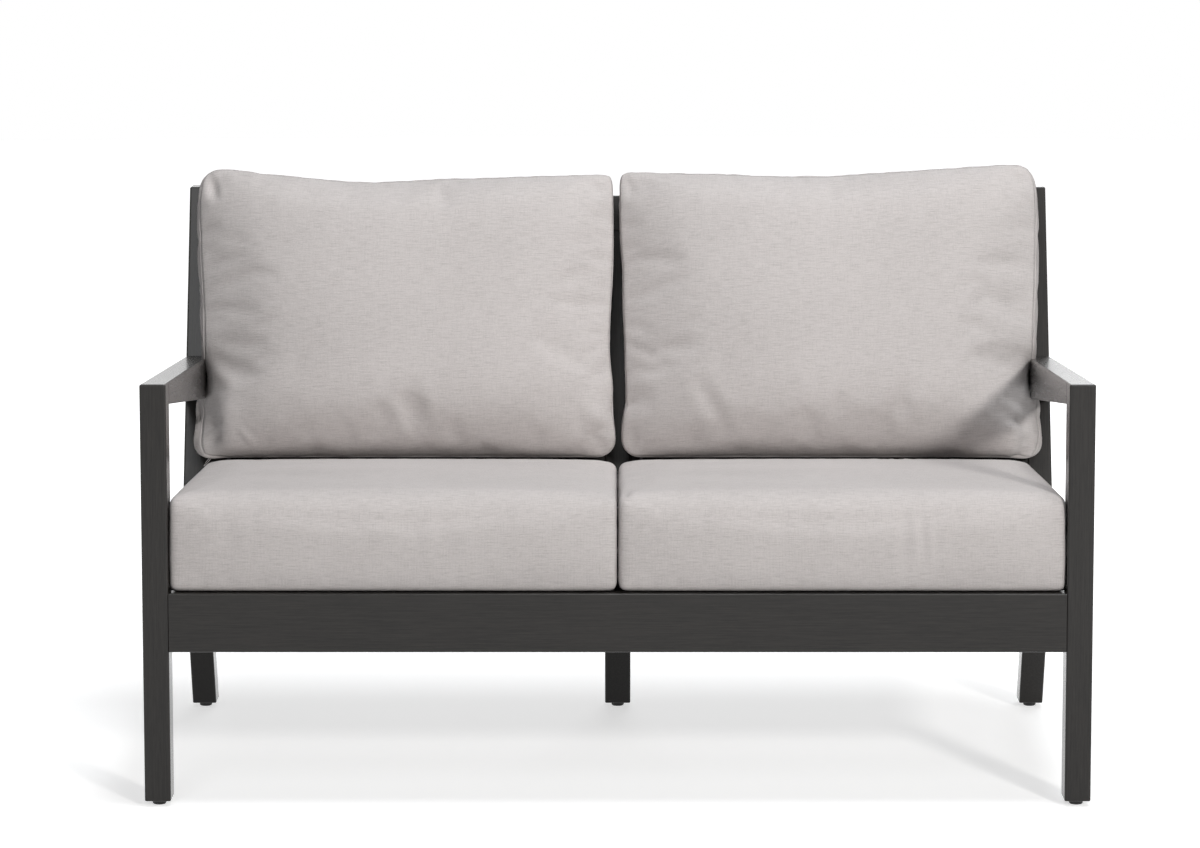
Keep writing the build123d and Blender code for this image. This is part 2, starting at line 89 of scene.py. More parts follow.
class CoatLook(bpy.types.PropertyGroup):
    """The brushed charcoal coat of the tubes."""
    dark: tint("Dark grain", "Colour in the depth of the brush strokes", (0.0062, 0.0054, 0.0047))
    light: tint("Light grain", "Colour on the crests of the brush strokes", (0.0195, 0.0172, 0.0154))
    roughness: number("Roughness", "Mean roughness of the coat", 0.40, subtype="FACTOR", min=0, max=1)
    coat: number("Clear coat", "Weight of the clear layer over the grain",
                 1.0, subtype="FACTOR", min=0, max=1)


class CoverLook(bpy.types.PropertyGroup):
    """The woven outdoor fabric of the cushion covers."""
    thread: tint("Thread", "Main colour of the weave", (0.575, 0.539, 0.5275))
    slub: tint("Slub", "Colour of the thicker, darker threads", (0.385, 0.358, 0.349))
    slub_length: length("Slub length", "Length of a slub in the weave", 0.024, min=0.005)
    slub_height: length("Slub thickness", "Thickness of a slub in the weave", 0.0010, min=0.0005)


class SeatSizes(bpy.types.PropertyGroup):
    """The form of a seat cushion, on the slope of the deck."""
    inner: length("Inner side", "From the seat's middle to the cushion", 0.0012)
    outer: length("Outer side", "From the seat's middle to the cushion's far side", 0.6476)
    start: length("Front", "Place of the front along the deck", -0.0225)
    end: length("Rear", "Place of the rear along the deck", 0.5618)
    boxing: length("Boxing", "Height of the sides", 0.1375)
    crown: length("Crown", "Rise of the top over its sides", 0.0115)
    lift: length("Lift", "Gap over the deck", 0.0003)
    top_round: length("Top rounding", "Radius of the upper edges", 0.021)
    low_round: length("Lower rounding", "Radius of the lower edges", 0.004)
    side_round: length("Side rounding", "Radius of the upper edges along the sides", 0.013)
    corner: length("Corner", "Radius of the upright corners", 0.007)
    front_swell: length("Front swell", "How far the front swells forward", 0.0125)
    side_draw: length("Side draw", "How far the ends of the sides draw in", 0.0005)


class BackSizes(bpy.types.PropertyGroup):
    """The form of a back cushion, on the rake of the back."""
    thickness: length("Thickness", "Thickness in the middle", 0.163)
    boxing: length("Boxing", "Thickness of the sides", 0.094)
    foot: length("Foot", "Thickness at the bottom, where the front rolls under", 0.060)
    pinch: length("Pinch", "How far the arm presses the front seam back", 0.048)
    droop: length("Droop", "How far the lower corners hang past the seat", 0.006)
    fullness: number("Fullness", "How soon the crown falls towards the sides", 0.90, min=0.2)
    sag: number("Sag", "How soon the crown falls towards the bottom", 0.66, min=0.2)
    roll: length("Roll", "Height over which the front rolls under at the bottom", 0.145, min=0.02)
    side_bulge: length("Side bulge", "How far the sides puff out", 0.0045)
    top_bulge: length("Top bulge", "How far the top puffs up", 0.006)
    arm: length("Arm side", "From the seat's middle to the inside of an arm", 0.6474)
    squeeze: length("Squeeze", "Radius in which a cushion swells past an arm", 0.020)
    corner: length("Corner", "Radius of the upper corners", 0.016)
    lower_corner: length("Lower corner", "Radius of the lower corners", 0.020)
    lift: length("Lift", "Gap in front of the back slats", 0.0003)
    arm_middle: number("Arm's place", "Where the arm presses, as a share up the side", 0.25, subtype="FACTOR")
    tab_length: length("Tab length", "Length of the tab at the lower corner", 0.0145)
    tab_width: length("Tab width", "Width of the tab at the lower corner", 0.011)


class SewingSizes(bpy.types.PropertyGroup):
    """The seams and the cloth of every cover."""
    cell: length("Cell", "Spacing of the cloth's grid", 0.0085, min=0.004)
    seam_width: length("Seam width", "Half the width of a seam's groove", 0.0015)
    seam_depth: length("Seam depth", "Depth of a seam's groove", 0.0014)
    seam_pucker: length("Seam pucker", "How far the cloth puckers beside a seam", 0.0012)
    frames: IntProperty(name="Frames", description="How long the cloth settles", min=1, default=18)
    seat_pressure: number("Seat pressure", "How hard a seat's foam pushes", 0.8)
    seat_ease: number("Seat ease", "Spare cloth over a seat", 0.003, subtype="FACTOR")
    seat_cap: length("Seat cap", "The furthest that cloth over a seat may move", 0.0025)
    back_pressure: number("Back pressure", "How hard a back's filling pushes", 1.6)
    back_ease: number("Back ease", "Spare cloth over a back", 0.012, subtype="FACTOR")
    back_cap: length("Back cap", "The furthest that cloth over a back may move", 0.007)


class ZipSizes(bpy.types.PropertyGroup):
    """The zips of the covers."""
    tape: length("Tape", "Width over both tapes", 0.024)
    gap: length("Half gap", "From the zip's middle to each tape", 0.0004)
    pitch: length("Pitch", "From one tooth to the next", 0.0010, min=0.0005)
    tape_rise: length("Tape height", "Height of the tapes over the cover", 0.0007)
    welt_inset: length("Welt inset", "From a tape's inner edge to its welt", 0.0022)
    welt_width: length("Welt width", "Width of a welt", 0.0012)
    welt_rise: length("Welt height", "Height of the welts over the cover", 0.0010)
    stop_inset: length("Stop inset", "From an end of the zip to its stop", 0.001)
    stop_length: length("Stop length", "Length of a stop along the zip", 0.002)
    stop_reach: length("Stop reach", "From the zip's middle to the side of a stop", 0.003)
    stop_rise: length("Stop height", "Height of the stops over the cover", 0.0017)
    coil_inset: length("Coil inset", "From an end of the zip to its first tooth", 0.004)
    tooth_reach: length("Tooth reach", "From the zip's middle to a tooth's root", 0.0029)
    tooth_hook: length("Tooth hook", "How far a tooth reaches past the zip's middle", 0.0009)
    tooth_rise: length("Tooth height", "Height of the teeth's middle over the cover", 0.0012)
    tooth: length("Tooth", "Radius of a tooth", 0.00045)


class StageSizes(bpy.types.PropertyGroup):
    """The camera and the lights."""
    distance: length("Camera distance", "From the front of the legs to the camera", 6.3994)
    height: length("Camera height", "Height of the camera over the floor", 1.4021)
    pitch: number("Pitch", "How far the camera looks down", math.radians(7.493), subtype="ANGLE")
    lens: number("Lens", "Focal length in millimetres", 135.0)
    shift: number("Shift", "Sideways framing, as a share of the width", -0.01475)
    key: number("Key light", "Power of the light at the right front", 300.0)
    fill: number("Fill light", "Power of the light at the left front", 36.0)
    top: number("Top light", "Power of the light overhead", 160.0)
    rear: number("Rear light", "Power of the light behind the seat", 45.0)
    ambient: number("Ambient", "Strength of the light all round", 0.05)


def settings(name):
    """One of the groups of settings that the scene holds."""
    return getattr(bpy.context.scene, name)


# Shader helpers

def put(made, values):
    """Sets plain input values of a shader node."""
    for key, value in values.items():
        made.inputs[key].default_value = value


def node(tree, kind, values=None, **options):
    """A new shader node with its options and its plain input values set."""
    made = tree.nodes.new(kind)
    for key, value in options.items():
        setattr(made, key, value)
    put(made, values or {})
    return made


def link(tree, start, end):
    """Joins an output to an input."""
    tree.links.new(start, end)


def new_group(name, inputs, outputs):
    """An empty shader group with named sockets."""
    group = bpy.data.node_groups.new(name, "ShaderNodeTree")
    for label, kind, default in inputs:
        socket = group.interface.new_socket(label, in_out="INPUT", socket_type=kind)
        if default is not None:
            socket.default_value = default
    for label, kind in outputs:
        group.interface.new_socket(label, in_out="OUTPUT", socket_type=kind)
    return group, group.nodes.new("NodeGroupInput"), group.nodes.new("NodeGroupOutput")


def stretched_noise(tree, vector, scale, detail, offset=0.0):
    """Noise on coordinates that are scaled by their own amount on each axis."""
    scaled = node(tree, "ShaderNodeVectorMath", {1: scale}, operation="MULTIPLY")
    moved = node(tree, "ShaderNodeVectorMath", {1: (offset, offset, offset)}, operation="ADD")
    grain = node(tree, "ShaderNodeTexNoise", {"Scale": 1.0, "Detail": detail, "Roughness": 0.55})
    link(tree, vector, scaled.inputs[0])
    link(tree, scaled.outputs[0], moved.inputs[0])
    link(tree, moved.outputs[0], grain.inputs["Vector"])
    return grain.outputs["Fac"]


def spread(tree, value, low, high, to_low=0.0, to_high=1.0):
    """Maps a value from one range to another and clamps it."""
    ranged = node(tree, "ShaderNodeMapRange", {"From Min": low, "From Max": high, "To Min": to_low,
                                               "To Max": to_high}, clamp=True)
    link(tree, value, ranged.inputs["Value"])
    return ranged.outputs["Result"]


def calc(tree, operation, first, second):
    """One step of arithmetic on two sockets or numbers."""
    step = node(tree, "ShaderNodeMath", operation=operation)
    for slot, item in enumerate((first, second)):
        if isinstance(item, (int, float)):
            step.inputs[slot].default_value = item
        else:
            link(tree, item, step.inputs[slot])
    return step.outputs[0]


def blend_colour(tree, factor, first, second):
    """A mix of two colours, each a socket."""
    mixed = node(tree, "ShaderNodeMix", data_type="RGBA")
    link(tree, factor, mixed.inputs["Factor"])
    link(tree, first, mixed.inputs[6])
    link(tree, second, mixed.inputs[7])
    return mixed.outputs[2]


def brushed_group():
    """Brush strokes along local X: colour, roughness and height."""
    if "brushed_coat" in bpy.data.node_groups:
        return bpy.data.node_groups["brushed_coat"]
    colours = (("Vector", "NodeSocketVector", None), ("Dark", "NodeSocketColor", (0, 0, 0, 1)),
               ("Light", "NodeSocketColor", (1, 1, 1, 1)), ("Roughness", "NodeSocketFloat", 0.4))
    group, start, end = new_group("brushed_coat", colours, (
        ("Color", "NodeSocketColor"), ("Roughness", "NodeSocketFloat"), ("Height", "NodeSocketFloat")))
    vector = start.outputs["Vector"]
    broad = stretched_noise(group, vector, (14, 620, 620), 3)
    fine = stretched_noise(group, vector, (45, 1700, 1700), 2, 7.3)
    cloud = stretched_noise(group, vector, (7, 22, 22), 3, 3.1)
    strokes = calc(group, "ADD", calc(group, "MULTIPLY", broad, 0.55), calc(group, "MULTIPLY", fine, 0.45))
    shade = calc(group, "ADD", spread(group, strokes, 0.36, 0.64), calc(group, "MULTIPLY", cloud, 0.5))
    factor = calc(group, "SUBTRACT", shade, 0.25)
    colour = blend_colour(group, factor, start.outputs["Dark"], start.outputs["Light"])
    link(group, colour, end.inputs["Color"])
    rough = calc(group, "ADD", start.outputs["Roughness"], spread(group, strokes, 0.3, 0.7, -0.10, 0.12))
    link(group, rough, end.inputs["Roughness"])
    link(group, strokes, end.inputs["Height"])
    return group


def woven_group():
    """A heathered weave on metres of cloth: colour and height."""
    if "woven_cover" in bpy.data.node_groups:
        return bpy.data.node_groups["woven_cover"]
    look = settings("loveseat_cover")
    inputs = (("Vector", "NodeSocketVector", None), ("Thread", "NodeSocketColor", (1, 1, 1, 1)),
              ("Slub", "NodeSocketColor", (0, 0, 0, 1)))
    group, start, end = new_group("woven_cover", inputs, (
        ("Color", "NodeSocketColor"), ("Height", "NodeSocketFloat")))
    vector = start.outputs["Vector"]
    along, across = 1 / look.slub_length, 1 / look.slub_height
    weft = stretched_noise(group, vector, (along, across, 1), 2)
    thin_weft = stretched_noise(group, vector, (along * 2.6, across * 2.2, 1), 2, 5.7)
    warp = stretched_noise(group, vector, (across * 1.1, along * 1.2, 1), 2, 9.1)
    flecks = stretched_noise(group, vector, (520, 620, 1), 1, 2.2)
    cloud = stretched_noise(group, vector, (4.5, 6, 1), 2, 1.4)
    marks = spread(group, weft, 0.45, 0.72, 0, 0.55)
    for layer, limits in ((thin_weft, (0.45, 0.75, 0, 0.35)), (warp, (0.5, 0.78, 0, 0.35)),
                          (flecks, (0.3, 0.7, -0.12, 0.16)), (cloud, (0.3, 0.7, -0.10, 0.12))):
        marks = calc(group, "ADD", marks, spread(group, layer, *limits))
    clamped = node(group, "ShaderNodeClamp")
    link(group, marks, clamped.inputs["Value"])
    link(group, blend_colour(group, clamped.outputs[0], start.outputs["Thread"], start.outputs["Slub"]),
         end.inputs["Color"])
    threads = []
    for axis in "YX":
        wave = node(group, "ShaderNodeTexWave", {"Scale": 150.0, "Distortion": 1.2, "Detail": 1.0},
                    wave_type="BANDS", bands_direction=axis)
        link(group, vector, wave.inputs["Vector"])
        threads.append(wave.outputs["Fac"])
    cells = calc(group, "MAXIMUM", *threads)
    ridges = calc(group, "ADD", calc(group, "MULTIPLY", cells, 0.5), calc(group, "MULTIPLY", thin_weft, 0.9))
    link(group, calc(group, "ADD", ridges, calc(group, "MULTIPLY", flecks, 0.4)), end.inputs["Height"])
    return group


def colour4(colour):
    """A colour with full alpha."""
    return (*colour, 1.0)


def bump(tree, shader, height, distance, strength=1.0):
    """Feeds a height to a shader's normal."""
    raised = node(tree, "ShaderNodeBump", {"Strength": strength, "Distance": distance})
    link(tree, height, raised.inputs["Height"])
    link(tree, raised.outputs["Normal"], shader.inputs["Normal"])


def new_material(name):
    """An empty material with its shader."""
    material = bpy.data.materials.new(name)
    material.use_nodes = True
    tree = material.node_tree
    return material, tree, tree.nodes["Principled BSDF"]


def coat_material(name, turn):
    """The brushed coat with its strokes turned to run along one kind of tube."""
    look = settings("loveseat_coat")
    material, tree, shader = new_material(name)
    place = node(tree, "ShaderNodeTexCoord")
    turned = node(tree, "ShaderNodeMapping", {"Rotation": turn}, vector_type="TEXTURE")
    grain = node(tree, "ShaderNodeGroup", node_tree=brushed_group())
    put(grain, {"Dark": colour4(look.dark), "Light": colour4(look.light), "Roughness": look.roughness})
    link(tree, place.outputs["Object"], turned.inputs["Vector"])
    link(tree, turned.outputs[0], grain.inputs["Vector"])
    link(tree, grain.outputs["Color"], shader.inputs["Base Color"])
    link(tree, grain.outputs["Roughness"], shader.inputs["Roughness"])
    put(shader, {"Specular IOR Level": 0.12, "Coat Weight": look.coat, "Coat Roughness": 0.22,
                 "Coat IOR": 1.28})
    bump(tree, shader, grain.outputs["Height"], 0.00012)
    return material


def cover_material(name, source="UV"):
    """The woven cover cloth."""
    look = settings("loveseat_cover")
    material, tree, shader = new_material(name)
    place = node(tree, "ShaderNodeTexCoord")
    weave = node(tree, "ShaderNodeGroup", node_tree=woven_group())
    put(weave, {"Thread": colour4(look.thread), "Slub": colour4(look.slub)})
    link(tree, place.outputs[source], weave.inputs["Vector"])
    link(tree, weave.outputs["Color"], shader.inputs["Base Color"])
    put(shader, {"Roughness": 0.92, "Specular IOR Level": 0.25, "Sheen Weight": 0.08,
                 "Sheen Roughness": 0.6})
    bump(tree, shader, weave.outputs["Height"], 0.00035, 0.8)
    return material


def speckled_material(name, dark, light, scale, roughness, depth, metallic=0.0):
    """A moulded or cast finish with a fine grain."""
    material, tree, shader = new_material(name)
    place = node(tree, "ShaderNodeTexCoord")
    grain = node(tree, "ShaderNodeTexNoise", {"Scale": scale, "Detail": 3.0})
    link(tree, place.outputs["Object"], grain.inputs["Vector"])
    ramp = node(tree, "ShaderNodeValToRGB")
    for stop, position, colour in zip(ramp.color_ramp.elements, (0.35, 0.65), (dark, light)):
        stop.color, stop.position = colour4(colour), position
    link(tree, grain.outputs["Fac"], ramp.inputs["Fac"])
    link(tree, ramp.outputs["Color"], shader.inputs["Base Color"])
    link(tree, spread(tree, grain.outputs["Fac"], 0.3, 0.7, roughness - 0.08, roughness + 0.08),
         shader.inputs["Roughness"])
    put(shader, {"Metallic": metallic})
    bump(tree, shader, grain.outputs["Fac"], depth)
    return material


def dress(name, material):
    """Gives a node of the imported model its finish."""
    piece = frame["nodes"][name]
    piece.data.materials.clear()
    piece.data.materials.append(material)


# Cushion forms

def between(low, high, share):
    """The value at a share of the way from one to another."""
    return low + (high - low) * share


def through(points, place):
    """A smooth value at a place, through a few pairs of place and value."""
    places, values = zip(*points)
    if place <= places[0]:
        return values[0]
    if place >= places[-1]:
        return values[-1]
    i = max(k for k in range(len(places) - 1) if places[k] <= place)
    step = places[i + 1] - places[i]
    slopes = []
    for k in (i, i + 1):
        low, high = max(k - 1, 0), min(k + 1, len(places) - 1)
        slopes.append((values[high] - values[low]) / (places[high] - places[low]))
    t = (place - places[i]) / step
    bow = (2 * t ** 3 - 3 * t ** 2 + 1) * values[i] + (t ** 3 - 2 * t ** 2 + t) * step * slopes[0]
    return bow + (3 * t ** 2 - 2 * t ** 3) * values[i + 1] + (t ** 3 - t ** 2) * step * slopes[1]


def rounded(point, halves, radii):
    """Rounds the edges of a box, or the corners of a rectangle, with a radius for each axis."""
    inner = [max(r - h, min(h - r, v)) for v, h, r in zip(point, halves, radii)]
    reach = [(v - i) / r for v, i, r in zip(point, inner, radii)]
    size = math.hypot(*reach)
    if size < 1e-9:
        return point
    share = max(abs(q) for q in reach) / size
    return [i + r * q * share for i, r, q in zip(inner, radii, reach)]


def bell(place, power, flat=2):
    """One in the middle, zero at -1 and 1, and flatter in the middle where flat is higher."""
    return max(1 - abs(place) ** flat, 0) ** power


def fold(bm, up, facing, crease):
    """Presses a soft crease into the cloth that faces one way, or raises one where its depth is negative.

    A crease is its two ends, across and up, its width and its depth."""
    start, end, width, depth = Vector(crease[0:2]), Vector(crease[2:4]), crease[4], crease[5]
    line = end - start
    for vert in bm.verts:
        if vert.normal.dot(facing) < 0.2:
            continue
        place = Vector((vert.co.x, vert.co.dot(up))) - start
        along = max(0, min(1, place.dot(line) / line.length_squared))
        far = (place - line * along).length / width
        if far < 3:
            wave = math.exp(-far ** 2) - 0.3 * math.exp(-2 * (far - 1.6) ** 2)
            vert.co -= vert.normal * depth * wave * math.sin(math.pi * between(0.15, 0.85, along))


def deck_point(x, depth, height):
    """A place over the seat deck: depth runs back down the slope, height stands off the deck."""
    return Vector((x, DECK[0] + depth * math.cos(SEAT_SLOPE) + height * math.sin(SEAT_SLOPE),
                   DECK[1] - depth * math.sin(SEAT_SLOPE) + height * math.cos(SEAT_SLOPE)))


BACK_FOOT = Vector((0, 0.17894, 0.3035))
BACK_UP = Vector((0, math.sin(BACK_RAKE), math.cos(BACK_RAKE)))
BACK_OUT = Vector((0, -math.cos(BACK_RAKE), math.sin(BACK_RAKE)))


def back_point(x, rise, out):
    """A place at the back panel: rise runs up the rake, out stands off its front."""
    return BACK_FOOT + Vector((x, 0, 0)) + BACK_UP * rise + BACK_OUT * out


def grid_box(counts):
    """A closed box of quads from -1 to 1, with so many quads along X, Y and Z."""
    bm = bmesh.new()
    bmesh.ops.create_cube(bm, size=2)
    for axis, count in enumerate(counts):
        along = [e for e in bm.edges if abs(e.verts[0].co[axis] - e.verts[1].co[axis]) > 1]
        bmesh.ops.subdivide_edges(bm, edges=along, cuts=count - 1, use_grid_fill=True)
    bm.verts.index_update()
    return bm


def lay_cloth(bm, halves, seams):
    """Gives a box of cloth its UV map in metres, and marks its seams.

    A seam lies on the side of one axis, at a share of a second, and ends at a share of a third."""
    uv = bm.loops.layers.uv.new("cloth")
    for face in bm.faces:
        middle = face.calc_center_median()
        axis = max(range(3), key=lambda k: abs(middle[k]))
        for loop in face.loops:
            a, b, c = (loop.vert.co[k] * halves[k] for k in range(3))
            side = 1 if middle[axis] > 0 else -1
            flat = {0: (b, c), 1: (a, c), 2: (a, b)}[axis]
            offset = {0: 1.7, 1: 3.9, 2: 0.0}[axis] * side
            loop[uv].uv = (flat[0] + offset, flat[1] + offset)
    for edge in bm.edges:
        ends = [vert.co for vert in edge.verts]
        edge.seam = any(all(abs(abs(end[p]) - 1) < 1e-4 and abs(abs(end[q]) - where) < 1e-4 for end in ends)
                        and all(abs(end[r]) < limit + 1e-4 for end in ends)
                        for p, q, where, r, limit in seams)


def settle(piece, held, pressure, ease, cap):
    """Lets a cover settle over its filling as cloth, held at some points, with a cap on every move."""
    sewing = settings("loveseat_sewing")
    group = piece.vertex_groups.new(name="held")
    group.add(held, 1.0, "REPLACE")
    cloth = piece.modifiers.new("cloth", "CLOTH")
    fabric = cloth.settings
    fabric.quality = 5
    fabric.mass = 0.25
    fabric.tension_stiffness = 25
    fabric.compression_stiffness = 25
    fabric.shear_stiffness = 10
    fabric.bending_stiffness = 0.35
    fabric.use_pressure = True
    fabric.uniform_pressure_force = pressure
    fabric.vertex_group_mass = "held"
    fabric.shrink_min = -ease
    fabric.effector_weights.gravity = 0
    cloth.collision_settings.use_collision = False
    cloth.point_cache.frame_start = 1
    cloth.point_cache.frame_end = sewing.frames
    scene = bpy.context.scene
    for step in range(1, sewing.frames + 1):
        scene.frame_set(step)
    settled = piece.evaluated_get(bpy.context.evaluated_depsgraph_get()).data
    places = [vert.co.copy() for vert in settled.vertices]
    piece.modifiers.remove(cloth)
    piece.vertex_groups.remove(group)
    scene.frame_set(1)
    for vert, place in zip(piece.data.vertices, places):
        move = place - vert.co
        vert.co += move * min(1.0, cap / max(move.length, 1e-9))


def keep_side(piece, side):
    """Presses a cover flat where it would swell over the seat's middle."""
    for vert in piece.data.vertices:
        vert.co.x = side * max(vert.co.x * side, 0.0008)


def refine(piece):
    """Halves the cells of a cover, with a smooth surface through them."""
    smooth = piece.modifiers.new("smooth", "SUBSURF")
    smooth.levels = 1
    smooth.render_levels = 1
    finer = bpy.data.meshes.new_from_object(piece.evaluated_get(bpy.context.evaluated_depsgraph_get()))
    piece.modifiers.remove(smooth)
    coarse = piece.data
    piece.data = finer
    bpy.data.meshes.remove(coarse)


def crease(piece, up, facing, creases):
    """Presses a list of creases into a cover."""
    bm = bmesh.new()
    bm.from_mesh(piece.data)
    bm.normal_update()
    for item in creases:
        fold(bm, up, facing, item)
    bm.to_mesh(piece.data)
    bm.free()


def sew(piece):
    """Draws every seam of a cover into a narrow groove."""
    sewing = settings("loveseat_sewing")
    bm = bmesh.new()
    bm.from_mesh(piece.data)
    seams = [edge for edge in bm.edges if edge.seam]
    made = bmesh.ops.bevel(bm, geom=seams, offset=sewing.seam_width, offset_type="OFFSET", segments=2,
                           profile=0.5, affect="EDGES", material=-1, clamp_overlap=True)
    strip = set(made["faces"])
    bm.normal_update()
    middles = {vert for face in strip for vert in face.verts if all(f in strip for f in vert.link_faces)}
    rims = {vert for face in strip for vert in face.verts} - middles
    for vert in middles:
        pucker = 1 + 0.35 * noise.noise(vert.co * 60)
        vert.co -= vert.normal * sewing.seam_depth * pucker
    for vert in rims:
        vert.co += vert.normal * sewing.seam_pucker * noise.noise(vert.co * 55)
    bm.to_mesh(piece.data)
    bm.free()


def finish_cover(piece, body, replaced, material):
    """Gives a cover its cloth and hands it to the frame."""
    for polygon in piece.data.polygons:
        polygon.use_smooth = True
    piece.data.materials.append(material)
    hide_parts(*replaced)
    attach(piece, body)


def new_piece(name, bm):
    """A mesh object from a bmesh."""
    mesh = bpy.data.meshes.new(name)
    bm.to_mesh(mesh)
    bm.free()
    piece = bpy.data.objects.new(name, mesh)
    bpy.context.scene.collection.objects.link(piece)
    return piece


def seat_place(a, b, c, side):
    """Where a point of a seat cushion's box lies, before the cloth settles."""
    s = settings("loveseat_seat")
    halves = ((s.outer - s.inner) / 2, (s.end - s.start) / 2, s.boxing / 2)
    point = [share * half for share, half in zip((a, b, c), halves)]
    side_round = between(s.corner, s.side_round, abs(c) ** 4)
    front_round = between(s.corner, s.top_round, max(c, 0) ** 4)
    ends = (s.top_round, s.side_round) if c > 0 else (s.low_round, SEAT_LOW_SIDE_ROUND)
    up_round = between(*ends, abs(a) ** 8)
    across, along, height = rounded(point, halves, (side_round, front_round, up_round))
    level = (height / halves[2] + 1) / 2
    wide, deep = bell(0.96 * across / halves[0], 0.3), bell(along / halves[1], 0.5)
    across -= math.copysign(s.side_draw, a) * abs(a) ** 8 * bell(2 * level - 1, 0.5) * (1 - deep)
    along -= s.front_swell * wide * bell(2 * level ** 1.1 - 1, 0.7) * max(-b, 0) ** 8
    height += s.crown * bell(across / halves[0], 0.42) * bell(along / halves[1], 0.36) * max(level, 0) ** 2
    x = (s.outer + s.inner) / 2 + across * side
    return deck_point(side * x, (s.start + s.end) / 2 + along, s.lift + halves[2] + height)


class LOVESEAT_OT_seat_cushions(bpy.types.Operator):
    """Makes both seat cushions as settled cloth covers over their foam"""
    bl_idname = "loveseat.seat_cushions"
    bl_label = "Seat Cushions"

    def execute(self, context):
        s, sewing = settings("loveseat_seat"), settings("loveseat_sewing")
        halves = ((s.outer - s.inner) / 2, (s.end - s.start) / 2, s.boxing / 2)
        counts = [max(2, round(2 * half / sewing.cell)) for half in halves]
        material = cover_material("seat_cover_cloth")
        for name, side in SIDES:
            bm = grid_box(counts)
            # The seams lie two cells in from the edges
            high, deep = 1 - 4 / counts[2], 1 - 4 / counts[1]
            lay_cloth(bm, halves, ((0, 2, high, 1, deep), (0, 1, deep, 2, high)))
            held = [vert.index for vert in bm.verts if vert.co.z < -0.99 or vert.co.y > 0.99
                    or abs(vert.co.x) > 0.99 and abs(vert.co.z) > 0.99]
            for vert in bm.verts:
                vert.co = seat_place(*(round(value, 6) for value in vert.co), side)
            piece = new_piece("seat_cover_" + name, bm)
            settle(piece, held, sewing.seat_pressure, sewing.seat_ease, sewing.seat_cap)
            keep_side(piece, side)
            refine(piece)
            crease(piece, Vector((0, 0, 1)), Vector((0, -1, 0.4)), SEAT_CREASES[name])
            sew(piece)
            body = "seat_cushion_" + name
            finish_cover(piece, body, (body + "_cover", body + "_filling"), material)
        return {"FINISHED"}


def arm_gap(point):
    """How far over or under an arm a point lies."""
    depth = point.y - FRONT
    top = ARM_TOP - depth * math.tan(ARM_FALL)
    low = ARM_UNDERSIDE - depth * ARM_UNDER_FALL
    return max(point.z - top, low - point.z, 0)


def back_place(a, b, c, side, outline):
    """Where a point of a back cushion's box lies, before the cloth settles."""
    s = settings("loveseat_back")
    wide, high = BACK_HALVES
    corner = s.lower_corner
    if b > 0:
        corner = s.corner * (1.5 if a * side > 0 else 0.9)
    across, up = rounded((a * wide, b * high), BACK_HALVES, (corner, corner))
    u, v = across / wide * side, up / high
    share = (v + 1) / 2
    # The front seam lies deeper at the bottom, where the front rolls under, and beside and under the arm
    seam = between(s.boxing, s.foot, (1 - share) ** 6)
    narrow = 9 + 7 * min(max(share / 0.1 - 2, 0), 1)
    reach = 0.085 if share > s.arm_middle else 0.15
    seam -= s.pinch * math.exp(-((share - s.arm_middle) / reach) ** 2) * max(u, 0) ** narrow
    out = (c + 1) / 2 * seam
    if c > 0:
        fall = bell(v, s.fullness / 2, 4)
        if v < 0:
            roll = bell(max(1 - 2 * share * high / s.roll, 0), 0.5)
            fall = between(bell(v, s.sag), roll, 0.75)
        out += (s.thickness - seam) * bell(u, s.fullness, 3.2) * fall * c ** 8
    else:
        out += REAR_RIM * (u ** 6 + v ** 6) / 2 * c ** 8
    low = SEAT_TOP - out * SEAT_TOP_FALL - s.droop * max(u, 0) ** 14 + through(FOOT_RISES, out)
    rise = between(low, through(outline["top"], u) - TOP_LEAN * (1 - c), share)
    inner, outer = through(outline["inner"], share), through(outline["outer"], share)
    x = between(inner, outer, (u + 1) / 2)
    puff = bell(c, 0.6)
    bulge = s.side_bulge * between(2.4, 0.8, share ** 0.5) if u > 0 else INNER_BULGE
    x += bulge * puff * abs(u) ** 12
    rise += s.top_bulge * puff * bell(u, 0.5) * max(v, 0) ** 12
    place = back_point(side * x, rise, s.lift + out)
    gap = min(arm_gap(place), s.squeeze)
    reach = s.arm + math.sqrt(gap * (2 * s.squeeze - gap))
    place.x = math.copysign(min(abs(place.x), reach), place.x)
    return place


# Where the middle of each kind of zip lies, back and up, and how far its tape leans from upright
ZIP_PLACES = {"seat_cushion": (0.17032, 0.32331, math.radians(-5.955)),
              "back_cushion": (0.19378, 0.43028, math.radians(-89.6))}
# The gap under a zip's tapes, and how deep its welts and stops sink into them
CLEAR = 0.0001

# Radius of a seat cushion's lower edges along its sides
SEAT_LOW_SIDE_ROUND = 0.008

# How far a back cushion's rear stands off the slats at its rim, how far its top falls from the front to
# the middle, and how far its side at the seat's middle puffs out
REAR_RIM = TOP_LEAN = INNER_BULGE = 0.004

# Half the width and height of a back cushion: the frame for its corners, and its cloth
BACK_HALVES = (0.326, 0.230)
BACK_CLOTH_HALVES = (0.322, 0.218)

# How far the bottom of a back cushion stands off the seat, at places out from the back panel
FOOT_RISES = ((0, 0.017), (0.0042, 0.0079), (0.014, 0.003), (0.059, 0), (0.118, 0.003))

